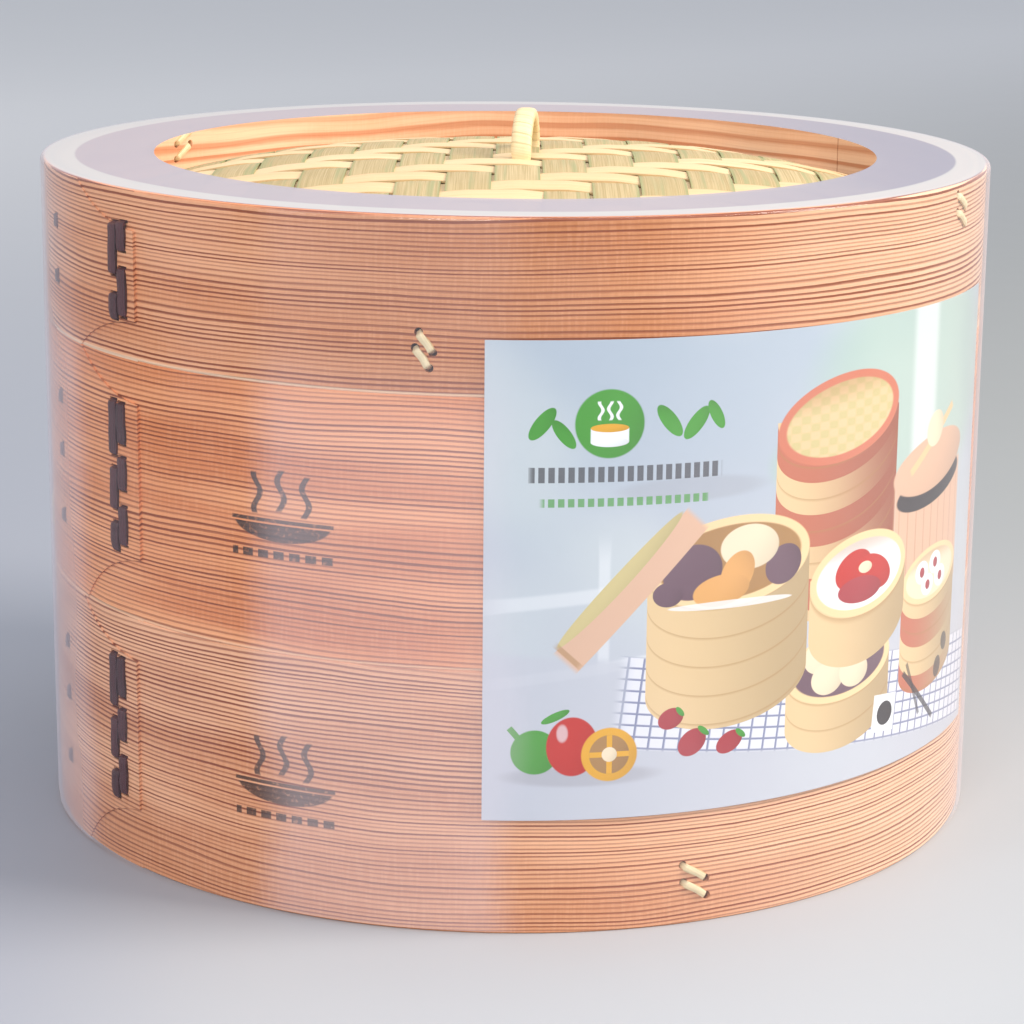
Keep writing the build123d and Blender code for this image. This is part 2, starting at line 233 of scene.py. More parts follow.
def burntMark(place, foot):
    # three wisps of steam over a bowl, burnt into the wood; 1 where burnt
    x, y, z = place.parts()
    turn = x.math("ARCTAN2", y * -1.0)
    across = (turn - math.radians(markLook["azimuth"])) * (hoopRadius / mm)
    up = z - (foot / mm + markLook["height"])
    mark = None
    for index in (-1, 0, 1):
        sway = (up * 0.62 + index * 0.9).math("SINE") * 1.1
        line = (across - index * 8.0 - sway).math("ABSOLUTE")
        tall = 1.0 - (up - (3.6 + 1.2 * (1 - abs(index)))).math("ABSOLUTE") / 6.4
        wisp = line.rise(markLook["stroke"] * 0.5, markLook["stroke"] * 0.8, 1.0, 0.0)
        wisp = wisp * tall.rise(0.0, 0.12)
        mark = wisp if mark is None else mark.math("MAXIMUM", wisp)
    half = markLook["width"] / 2
    bowl = (across * across / half ** 2 + (up + 4.2) ** 2.0 / 40.0) ** 0.5
    below = (up + 4.2) < -1.1
    mark = mark.math("MAXIMUM", bowl.rise(0.94, 1.0, 1.0, 0.0) * below)
    rim = (up + 4.2).math("ABSOLUTE").rise(0.4, 0.7, 1.0, 0.0)
    rim = rim * across.math("ABSOLUTE").rise(half, half + 0.5, 1.0, 0.0)
    dash = (across / 5.2 + 0.5).math("FRACT").rise(0.62, 0.7, 1.0, 0.0)
    dash = dash * (up + 14.2).math("ABSOLUTE").rise(1.0, 1.3, 1.0, 0.0)
    dash = dash * across.math("ABSOLUTE").rise(half, half + 0.3, 1.0, 0.0)
    mark = mark.math("MAXIMUM", rim).math("MAXIMUM", dash)
    wearAndFootHighlight = place.noise(0.7, 3.0).rise(0.32, 0.46)
    return mark * (wearAndFootHighlight * 0.35 + 0.65)


def firMaterial(name, foot=0.0):
    look = firLook[name]
    material, place = startMaterial(name + "_fir")
    x, y, z = place.parts()
    seeded = place.vector("ADD", (look["seed"] * 31.7, look["seed"] * 17.3, look["seed"] * 53.1))
    slow = seeded.scaled(0.007, 0.007, 0.012).noise(1.0, 2.0)
    bend = seeded.scaled(0.013, 0.013, 0.02).noise(1.0, 1.0)
    pace = seeded.scaled(0.0012, 0.0012, 0.05).noise(1.0, 2.0)
    outward = place.scaled(1, 1, 0).vector("LENGTH", out=1)
    level = (z + outward * 0.4) / look["spacing"]
    level = level + (slow - 0.5) * (look["sway"] * 2.4) + (bend - 0.5) * look["sway"]
    level = level + (pace - 0.5) * (look["uneven"] * 4.2)
    ring = level.math("FRACT")
    tone = level.math("FLOOR").chance()
    ragged = (seeded.scaled(0.12, 0.12, 0.9).noise(1.0, 3.0) - 0.5) * 0.16
    late = (ring + ragged).rise(0.32, 0.7) ** 1.4 * ring.rise(0.88, 1.0, 1.0, 0.0)
    late = late * (tone * 0.75 + 0.45) * (pace.rise(0.3, 0.7) * 0.3 + 0.85)
    fine = (level * 3.17 + slow * 4.0).math("FRACT").rise(0.6, 0.95) * 0.16
    fibre = seeded.scaled(0.035, 0.035, 3.1).noise(1.0, 3.0, 0.6)
    turn = x.math("ARCTAN2", y * -1.0) * (hoopRadius / mm)
    chatter = place.joined(turn * 0.95, z * 0.09, outward * 0.2).noise(1.0, 2.0, 0.6)
    patch = seeded.scaled(0.008, 0.008, 0.055).noise(1.0, 2.0).rise(0.34, 0.68)
    base = patch.blend(paint(look["pale"]), paint(look["deep"]))
    # painted light: the wood paler towards the right, where the key lamp falls
    base = (x.rise(10.0, 140.0) * look["rightLight"]).blend(base, paint(firTints["litRight"]))
    middle = x.rise(-110.0, -20.0) * x.rise(20.0, 90.0, 1.0, 0.0)
    base = (middle * look["dim"]).blend(base, paint(firTints["brown"]))
    base = (fibre.rise(0.35, 0.72) * 0.28).blend(base, paint(look["deep"]))
    base = (chatter.rise(0.42, 0.7) * 0.22).blend(base, paint(look["pale"]))
    lines = (late + fine).math("MINIMUM", 1.0) * look["strength"]
    colour = lines.blend(base, paint(look["line"]))
    # painted highlight: a pale band just above the foot, where the seam's edge catches the light
    wearAndFootHighlight = (z - foot / mm).rise(0.5, 1.3, look["edge"], 0.0)
    colour = wearAndFootHighlight.blend(colour, paint(firTints["cut"]))
    rough = 0.5 + fibre * 0.18
    if look["mark"]:
        burnt = burntMark(place, foot) * (outward > hoopRadius / mm - 1.0)
        colour = (burnt * 0.9).blend(colour, paint(look["mark"]))
    height = lines * -0.5 + chatter * 0.5 + fibre * 0.3
    names = {"Base_Color": colour, "Roughness": rough, "Normal": height.bump(0.00022, 0.5)}
    return endMaterial(material, principled(place, **names))


# split bamboo: slats, weave, ties and handle strips, from attributes laid along each strip


def stripMaterial(name, look):
    # look: pale, deep and green colours, and how fibrous the strip is
    material, place = startMaterial(name)
    along = place.node("ShaderNodeAttribute", {"attribute_name": "along"}, out=2)
    across = place.node("ShaderNodeAttribute", {"attribute_name": "across"}, out=2)
    strip = place.node("ShaderNodeAttribute", {"attribute_name": "strip"}, out=2)
    lane = place.joined(along * 0.02, across * look["fineness"], strip * 37.0)
    fibre = lane.noise(1.0, 4.0, 0.65)
    broad = place.joined(along * 0.012, across * 0.35, strip * 11.0).noise(1.0, 2.0)
    tint = (strip * 91.7).math("FRACT")
    colour = (fibre.rise(0.35, 0.68) * look["contrast"]).blend(paint(look["pale"]), paint(look["deep"]))
    colour = (tint * 0.35).blend(colour, paint(look["deep"]))
    colour = (broad.rise(0.5, 0.72) * look["green"]).blend(colour, paint(look["greenish"]))
    edge = (across.math("ABSOLUTE") / (look["width"] / 2)).rise(0.8, 1.0)
    colour = (edge * look["edge"]).blend(colour, paint(look["rim"]))
    rough = look["rough"] + fibre * 0.2
    height = fibre.bump(0.0002, 0.6)
    names = {"Base_Color": colour, "Roughness": rough, "Normal": height}
    return endMaterial(material, principled(place, **names))


stripLooks = {
    "weft": {
        "pale": "#ecd2a6", "deep": "#d2a972", "greenish": "#d6c28c", "rim": "#ad834c",
        "fineness": 2.2, "contrast": 0.55, "green": 0.35, "edge": 0.45, "width": 14.0, "rough": 0.38,
    },
    "warp": {
        "pale": "#ccb68a", "deep": "#a08a5a", "greenish": "#989a6c", "rim": "#8c9666",
        "fineness": 3.4, "contrast": 0.8, "green": 0.75, "edge": 0.7, "width": 14.0, "rough": 0.5,
    },
    "slat": {
        "pale": "#ecd9a4", "deep": "#c9a968", "greenish": "#d5c68a", "rim": "#c8a765",
        "fineness": 2.0, "contrast": 0.7, "green": 0.3, "edge": 0.4, "width": 9.0, "rough": 0.45,
    },
    "tie": {
        "pale": "#efe2c0", "deep": "#cdb581", "greenish": "#dccf9e", "rim": "#b4935a",
        "fineness": 4.5, "contrast": 0.7, "green": 0.3, "edge": 0.5, "width": 2.3, "rough": 0.4,
    },
    "wrap": {
        "pale": "#f2dfb4", "deep": "#d6b880", "greenish": "#e0d096", "rim": "#a98550",
        "fineness": 3.0, "contrast": 0.6, "green": 0.3, "edge": 0.55, "width": 9.0, "rough": 0.36,
    },
    "lacing": {
        "pale": "#602b30", "deep": "#170a0c", "greenish": "#6e3638", "rim": "#120809",
        "fineness": 3.2, "contrast": 0.9, "green": 0.5, "edge": 0.6, "width": 4.4, "rough": 0.28,
    },
}


def solidBamboo():
    # bars, pegs and the keeper, which have no strip attributes
    material, place = startMaterial("bamboo_solid")
    fibre = place.scaled(0.05, 2.4, 2.4).noise(1.0, 4.0, 0.6)
    colour = fibre.rise(0.35, 0.7).blend(paint("#ead6a0"), paint("#c4a263"))
    names = {"Base_Color": colour, "Roughness": 0.42 + fibre * 0.2, "Normal": fibre.bump(0.0002, 0.5)}
    return endMaterial(material, principled(place, **names))


def leafMaterial():
    material, place = startMaterial("dry_leaf")
    x, y, z = place.parts()
    vein = (x * 0.5 + y * 0.06 + place.noise(0.02) * 4.0).math("FRACT").rise(0.7, 0.95)
    spots = place.noise(0.09, 3.0).rise(0.4, 0.7)
    colour = spots.blend(paint("#8d7c47"), paint("#5f5428"))
    colour = (vein * 0.5).blend(colour, paint("#b3a265"))
    names = {"Base_Color": colour, "Roughness": 0.6 + spots * 0.2, "Normal": vein.bump(0.0001, 0.5)}
    return endMaterial(material, principled(place, **names))


# geometry trees

class Tree(Wire):
    # a geometry tree with named inputs
    def __init__(self, name, inputs):
        tree = bpy.data.node_groups.new(name, "GeometryNodeTree")
        super().__init__(tree)
        face = tree.interface
        face.new_socket("Geometry", in_out="INPUT", socket_type="NodeSocketGeometry")
        face.new_socket("Geometry", in_out="OUTPUT", socket_type="NodeSocketGeometry")
        for label, value in inputs.items():
            kind = "NodeSocketInt" if isinstance(value, int) else "NodeSocketFloat"
            face.new_socket(label, in_out="INPUT", socket_type=kind).default_value = value
        self.entry = tree.nodes.new("NodeGroupInput")

    def input(self, label):
        return Wire(self.tree, self.entry.outputs[label])

    def end(self, geometry):
        out = self.tree.nodes.new("NodeGroupOutput")
        self.tree.links.new(geometry.socket, out.inputs[0])


def runTree(name, tree, values, start=None):
    # the tree's result as a plain mesh on a new object
    base = bpy.data.objects.new(name, start or bpy.data.meshes.new(name + "Start"))
    bpy.context.scene.collection.objects.link(base)
    modifier = base.modifiers.new("build", "NODES")
    modifier.node_group = tree.tree
    for item in tree.tree.interface.items_tree:
        if item.in_out == "INPUT" and item.name in values:
            modifier[item.identifier] = values[item.name]
    graph = bpy.context.evaluated_depsgraph_get()
    made = bpy.data.meshes.new_from_object(base.evaluated_get(graph), depsgraph=graph)
    base.modifiers.clear()
    base.data = made
    made.name = name
    return base


def unitBlock(wire, alongCount, acrossCount, thickCount=2):
    # a box of unit spans: x from -1 to 1 along, y and z from -0.5 to 0.5
    names = {"Size": (2.0, 1.0, 1.0), "Vertices X": alongCount, "Vertices Y": acrossCount}
    names["Vertices Z"] = thickCount
    return wire.node("GeometryNodeMeshCube", sockets=names)


def captured(geometry, value, kind="FLOAT"):
    # geometry with a value kept on its points, and the kept value
    node = geometry.tree.nodes.new("GeometryNodeCaptureAttribute")
    node.capture_items.new(kind, "kept")
    geometry.tree.links.new(geometry.socket, node.inputs["Geometry"])
    geometry.tree.links.new(value.socket, node.inputs["kept"])
    return Wire(geometry.tree, node.outputs["Geometry"]), Wire(geometry.tree, node.outputs["kept"])


def layBlocks(tree, points, alongCount, acrossCount):
    # a block on each point: the shape, each block's number, and the place within its block
    points, number = captured(points, tree.node("GeometryNodeInputIndex"))
    block = unitBlock(tree, alongCount, acrossCount)
    block, spot = captured(block, tree.node("GeometryNodeInputPosition"), "VECTOR")
    laid = tree.node("GeometryNodeInstanceOnPoints", sockets={"Points": points, "Instance": block})
    laid = tree.node("GeometryNodeRealizeInstances", sockets={"Geometry": laid})
    return laid, number, spot.parts()


def bendBlocks(tree, shape, placed, material, flip=True, **kept):
    # the blocks moved to their places, with what the strip materials read
    shape = tree.node("GeometryNodeSetPosition", sockets={"Geometry": shape, "Position": placed})
    settings = {"data_type": "FLOAT", "domain": "POINT"}
    for name, value in kept.items():
        names = {"Geometry": shape, "Name": name, "Value": value}
        shape = tree.node("GeometryNodeStoreNamedAttribute", settings, names)
    if flip:
        shape = tree.node("GeometryNodeFlipFaces", sockets={0: shape})
    return tree.node("GeometryNodeSetMaterial", sockets={"Geometry": shape, "Material": material})


def random01(wire, seed, index):
    made = wire.tree.nodes.new("FunctionNodeRandomValue")
    made.data_type = "FLOAT"
    made.inputs[2].default_value = 0.0
    made.inputs[3].default_value = 1.0
    made.inputs["Seed"].default_value = seed
    wire.tree.links.new(index.socket, made.inputs["ID"])
    return Wire(wire.tree, made.outputs[1])


# woven panels

weaveInputs = {
    "Strips": 19, "Pitch": 0.015, "Width": 0.0142, "Thick": 0.00055, "Wave": 0.0006,
    "Shift": 0.0005, "Reach": 0.1443, "Edge height": 0.186, "Rise": 0.019, "Fullness": 3.0,
    "Turn": 0.0, "Sink": 0.001,
}


def stripSet(tree, direction, material, seed):
    # every strip that runs one way; direction 0 is left to right, 1 front to back
    pitch, width = tree.input("Pitch"), tree.input("Width")
    count = tree.input("Strips")
    line = tree.node("GeometryNodeMeshLine", sockets={"Count": count})
    laid, strip, (along, across, deep) = layBlocks(tree, line, 120, 5)
    lane = strip - (count - 1.0) * 0.5
    luck = random01(tree, seed, strip)
    luckier = random01(tree, seed + 1, strip)
    slim = width * (luckier * 0.07 + 0.95)
    y = lane * pitch + tree.input("Shift") + across * slim + (luck - 0.5) * 0.0006
    reach = tree.input("Reach")
    half = (reach * reach - y * y).math("MAXIMUM", 1e-8).math("SQRT")
    x = along * half
    beside = lane.math("ROUND")
    # two over, two under, each strip one step on from the last
    phase = (x - tree.input("Shift")) / pitch - beside + 0.5
    if direction == 1:
        phase = beside - (x - tree.input("Shift")) / pitch + 0.5
    wave = (phase * (math.pi / 2)).math("SINE") * (1.45 if direction == 0 else 1.6)
    wave = wave.math("MINIMUM", 1.0).math("MAXIMUM", -1.0)
    if direction == 1:
        wave = wave * -1.0
    crown = (across * 2.0).math("ABSOLUTE") ** 2.2 * (0.00030 if direction == 0 else 0.00018)
    share = ((x * x + y * y).math("SQRT") / reach).math("MINIMUM", 1.0)
    height = tree.input("Edge height") + tree.input("Rise") * (1.0 - share ** tree.input("Fullness"))
    ripple = ((x * 210.0 + luck * 40.0).math("SINE")) * 0.00007
    z = height - tree.input("Sink") + wave * tree.input("Wave") - crown + ripple
    z = z + deep * tree.input("Thick")
    placed = tree.joined(x, y, z) if direction == 0 else tree.joined(y, x, z)
    kept = {"along": x * 1000.0, "across": across * slim * 1000.0, "strip": luck}
    return bendBlocks(tree, laid, placed, material, direction == 1, **kept)


def weaveTree(name, weft, warp, seed):
    tree = Tree(name, weaveInputs)
    join = tree.tree.nodes.new("GeometryNodeJoinGeometry")
    for direction, material in enumerate((weft, warp)):
        strips = stripSet(tree, direction, material, seed + 10 * direction)
        tree.tree.links.new(strips.socket, join.inputs[0])
    turned = tree.node("GeometryNodeTransform", sockets={
        "Geometry": Wire(tree.tree, join.outputs[0]),
        "Rotation": tree.joined(0.0, 0.0, tree.input("Turn")),
    })
    tree.end(turned)
    return tree


def makeWeave(name, tree, node, low, high, slotName, extra):
    matThick = 2.0 * mm
    values = {"Reach": high.x - 0.3 * mm, "Edge height": low.z + matThick, "Sink": matThick / 2}
    values["Rise"] = high.z - (low.z + matThick)
    values.update(extra)
    woven = runTree(name, tree, values)
    finishPiece(woven, "lid", slotName, node)
    return woven


def finishPiece(piece, body, slotName, *nodes, smooth=35.0):
    if smooth:
        piece.data.shade_smooth()
        sharpen(piece.data, smooth)
    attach(piece, body)
    if nodes:
        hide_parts(*nodes)
    return piece


def sharpen(mesh, degrees):
    mesh.set_sharp_from_angle(angle=math.radians(degrees))


# floor slats

slatInputs = {
    "Slats": 19, "Pitch": 0.0145, "Width": 0.009, "Thick": 0.0026, "Reach": 0.1445, "Floor": 0.022,
}


def slatTree(name, material, seed):
    tree = Tree(name, slatInputs)
    count = tree.input("Slats")
    line = tree.node("GeometryNodeMeshLine", sockets={"Count": count})
    laid, strip, (along, across, deep) = layBlocks(tree, line, 90, 9)
    luck = random01(tree, seed, strip)
    x = (strip - (count - 1.0) * 0.5) * tree.input("Pitch") + across * tree.input("Width")
    reach = tree.input("Reach")
    y = along * (reach * reach - x * x).math("MAXIMUM", 1e-8).math("SQRT")
    eased = (across * 2.0).math("ABSOLUTE") ** 7.0 * 0.0007
    # the low ring that a bamboo joint leaves across a slat
    ring = (y - (luck - 0.5) * 0.19) / 0.0022
    ring = (ring * ring * -1.0).math("EXPONENT") * 0.00035
    top = deep + 0.5
    z = tree.input("Floor") + top * tree.input("Thick") + (ring - eased) * top
    z = z + (1.0 - top) * eased * 0.5
    kept = {"along": y * -1000.0 + luck * 300.0, "strip": luck}
    kept["across"] = across * tree.input("Width") * 1000.0
    tree.end(bendBlocks(tree, laid, tree.joined(x, y, z), material, **kept))
    return tree


# stitches, tacks and ties: one strap for each loose band of a CAD node

skinDepth = 0.8 * mm  # points this near a band's outer face belong to it
strapInputs = {
    "Bulge": 0.00015, "Thick": 0.0006, "Dive": 0.0022, "Crown": 0.0003, "Bend": 0.7,
    "Lift": -0.00035,
}


def strapTree(name, material, seed):
    tree = Tree(name, strapInputs)
    laid, strip, (along, across, deep) = layBlocks(tree, tree.input("Geometry"), 33, 7)

    def named(label):
        return tree.node("GeometryNodeInputNamedAttribute", {"data_type": "FLOAT"}, {"Name": label})

    luck = random01(tree, seed, strip)
    run = along * named("length") * 0.5
    end = along.math("ABSOLUTE")
    # a strap narrows where it bends into its holes
    wide = named("width") * (1.0 - end.rise(0.72, 1.0) * 0.3)
    side = across * wide + (along * 3.0 + luck * 9.0).math("SINE") * 0.00022
    lean = named("slant")
    s = run * lean.math("SINE") + side * lean.math("COSINE")
    t = run * lean.math("COSINE") - side * lean.math("SINE")
    turn = named("azimuth") + s / named("radius")
    bulge = (1.0 - end ** 3.0) * tree.input("Bulge")
    dive = end.rise(tree.input("Bend"), 1.0) * tree.input("Dive")
    crown = (across * 2.0).math("ABSOLUTE") ** 2.0 * tree.input("Crown")
    wrinkle = (along * 7.0 + luck * 20.0).math("SINE") * 0.00006
    r = named("radius") + tree.input("Lift") + bulge - dive - crown + wrinkle
    r = r + deep * tree.input("Thick")
    x = turn.math("SINE") * r
    y = turn.math("COSINE") * r * -1.0
    placed = tree.joined(x, y, named("height") + t)
    kept = {"along": run * 1000.0, "across": side * 1000.0, "strip": luck}
    tree.end(bendBlocks(tree, laid, placed, material, **kept))
    return tree


def looseShapes(node):
    # the corner points of each separate solid in a CAD node
    work = bmesh.new()
    work.from_mesh(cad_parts[node].data)
    bmesh.ops.remove_doubles(work, verts=work.verts, dist=1e-6)
    left = set(work.verts)
    shapes = []
    while left:
        found, edge = set(), [left.pop()]
        while edge:
            vert = edge.pop()
            found.add(vert)
            for link in vert.link_edges:
                nextVert = link.other_vert(vert)
                if nextVert in left:
                    left.remove(nextVert)
                    edge.append(nextVert)
        shapes.append([vert.co.copy() for vert in found])
    work.free()
    return sorted(shapes, key=lambda shape: (sum(p.z for p in shape), sum(p.x for p in shape)))


def strapPoints(name, nodes, inside=False):
    # one point for each band, with its place, size and lean kept as attributes
    rows = []
    for node in nodes:
        for shape in looseShapes(node):
            radii = [math.hypot(p.x, p.y) for p in shape]
            radius = min(radii) if inside else max(radii)
            face = [p for p, r in zip(shape, radii) if abs(r - radius) < skinDepth]
            middle = sum(face, Vector()) / len(face)
            azimuth = math.atan2(middle.x, -middle.y)
            spread = []
            for p in face:
                turn = math.atan2(p.x, -p.y) - azimuth
                spread.append((turn * radius, p.z - middle.z))
            ss = sum(s * s for s, t in spread)
            tt = sum(t * t for s, t in spread)
            st = sum(s * t for s, t in spread)
            lean = 0.5 * math.atan2(2 * st, tt - ss)
            lengths = [s * math.sin(lean) + t * math.cos(lean) for s, t in spread]
            widths = [s * math.cos(lean) - t * math.sin(lean) for s, t in spread]
            rows.append({
                "azimuth": azimuth, "height": middle.z, "slant": lean, "radius": radius,
                "length": max(lengths) - min(lengths), "width": max(widths) - min(widths),
            })
    mesh = bpy.data.meshes.new(name + "Points")
    mesh.from_pydata([(0, 0, 0)] * len(rows), [], [])
    for label in rows[0]:
        values = mesh.attributes.new(label, "FLOAT", "POINT").data
        for index, row in enumerate(rows):
            values[index].value = row[label]
    return mesh


def makeStraps(name, tree, body, slotName, nodes, values, inside=False, replace=True):
    straps = runTree(name, tree, values, strapPoints(name, nodes, inside))
    for label in ("azimuth", "height", "slant", "radius", "length", "width"):
        straps.data.attributes.remove(straps.data.attributes[label])
    finishPiece(straps, body, slotName, *(nodes if replace else ()), smooth=50.0)
    return straps


# sheets and strips with two sides

def slab(rows, columns, place):
    # place gives a point from its row, column and side
    verts = [place(i, j, side) for i in range(rows) for side in (0, 1) for j in range(columns)]
    faces = []
    wide = 2 * columns
    end = columns - 1
    for i in range(rows - 1):
        a, b = i * wide, (i + 1) * wide
        for j in range(end):
            faces.append((a + j, a + j + 1, b + j + 1, b + j))
            faces.append((a + columns + j, b + columns + j, b + columns + j + 1, a + columns + j + 1))
        faces.append((a, b, b + columns, a + columns))
        faces.append((a + end, a + columns + end, b + columns + end, b + end))
    for a in (0, (rows - 1) * wide):
        for j in range(end):
            faces.append((a + j, a + columns + j, a + columns + j + 1, a + j + 1))
    return verts, faces


# handle wrapping

wrapLook = {
    "turnFromX": 85.0,  # the way the arch runs, degrees
    "bands": 11, "overlap": 1.3, "thick": 0.45 * mm, "lift": 0.3 * mm, "steps": 28,
}


def makeWrap(material):
    # a flat strip wound round the arch, each turn lying over the one before
    turn = math.radians(wrapLook["turnFromX"])
    ahead = Vector((math.cos(turn), math.sin(turn), 0))
    beside = Vector((math.sin(turn), -math.cos(turn), 0))
    halfWide, halfThick = 2.5 * mm, 1.3 * mm
    middle = (wrapLow + wrapHigh) / 2
    halfSpan = ((wrapHigh - wrapLow).y / 2 - 2.15 * mm) / math.sin(turn)
    foot = Vector((middle.x, middle.y, weaveHigh.z))
    rise = wrapHigh.z - 1.9 * mm - foot.z
    low, high = -0.1, math.pi + 0.1

    def skinPoint(share, angle, out):
        # share of the way along the arch, angle round the strip, out from its surface
        a = low + (high - low) * share
        sink = min(0.0, math.sin(a)) * 0.6
        centre = foot + ahead * (halfSpan * math.cos(a)) + Vector((0, 0, rise * (math.sin(a) + sink)))
        tangent = (ahead * (-halfSpan * math.sin(a)) + Vector((0, 0, rise * math.cos(a)))).normalized()
        outward = beside.cross(tangent).normalized()
        c, d = math.cos(angle), math.sin(angle)
        size = (abs(c) ** 3.2 + abs(d) ** 3.2) ** (-1 / 3.2)
        return centre + beside * (c * size * (halfWide + out)) + outward * (d * size * (halfThick + out))

    bands, steps, columns = wrapLook["bands"], wrapLook["steps"], 5
    half = wrapLook["overlap"] / bands / 2
    luck = random.Random(5)
    sway = [luck.uniform(-0.012, 0.012) for _ in range(bands + 2)]
    data = []
    total = bands * steps

    def turnPoint(k, j, side):
        angle = 2 * math.pi * k / steps
        share = (k % steps) / steps
        drift = sway[k // steps] * (1 - share) + sway[k // steps + 1] * share
        centre = half * 0.8 + (k / total) * (1 - 1.6 * half) + drift
        across = j / (columns - 1)
        place = min(max(centre + (across - 0.5) * 2 * half, 0.0), 1.0)
        crown = 0.12 * mm * (1 - (2 * across - 1) ** 2)
        out = wrapLook["lift"] * (1 - across) + crown + wrapLook["thick"] * side
        data.append((angle * 3.4, (across - 0.5) * 9.0, 0.31))
        return skinPoint(place, angle, out)

    verts, faces = slab(total + 1, columns, turnPoint)
    piece = meshPiece("lid_handle_wrapping", verts, faces, material)
    for index, label in enumerate(("along", "across", "strip")):
        values = piece.data.attributes.new(label, "FLOAT", "POINT").data
        for i, known in enumerate(data):
            values[i].value = known[index]
    return finishPiece(piece, "lid", "handle_strip", "lid_handle_wrap", smooth=50.0)


def meshPiece(name, verts, faces, *materials):
    mesh = bpy.data.meshes.new(name)
    mesh.from_pydata(verts, [], faces)
    work = bmesh.new()
    work.from_mesh(mesh)
    bmesh.ops.recalc_face_normals(work, faces=work.faces)
    work.to_mesh(mesh)
    work.free()
    for material in materials:
        mesh.materials.append(material)
    piece = bpy.data.objects.new(name, mesh)
    bpy.context.scene.collection.objects.link(piece)
    return piece


# label

labelPaint = {
    "paper": "#afbcc9", "light": "#c4cdd2", "table": "#c0c4ce", "leaf": "#a9c4b4", "white": "#eceff2",
    "tan": "#dfc498", "tanDark": "#a98150", "red": "#bf7259", "redDark": "#8f4a38", "wood": "#d9b49a",
    "weave": "#cdbf8a", "bun": "#ecdcc0", "gold": "#dda765", "plum": "#6f5663", "black": "#39373b",
    "green": "#4d9a3c", "pepper": "#c03028", "yellow": "#e0a832", "berry": "#a83a42",
    "cloth": "#dfe1ea", "check": "#5f6a94", "shadow": "#8e8a92",
}
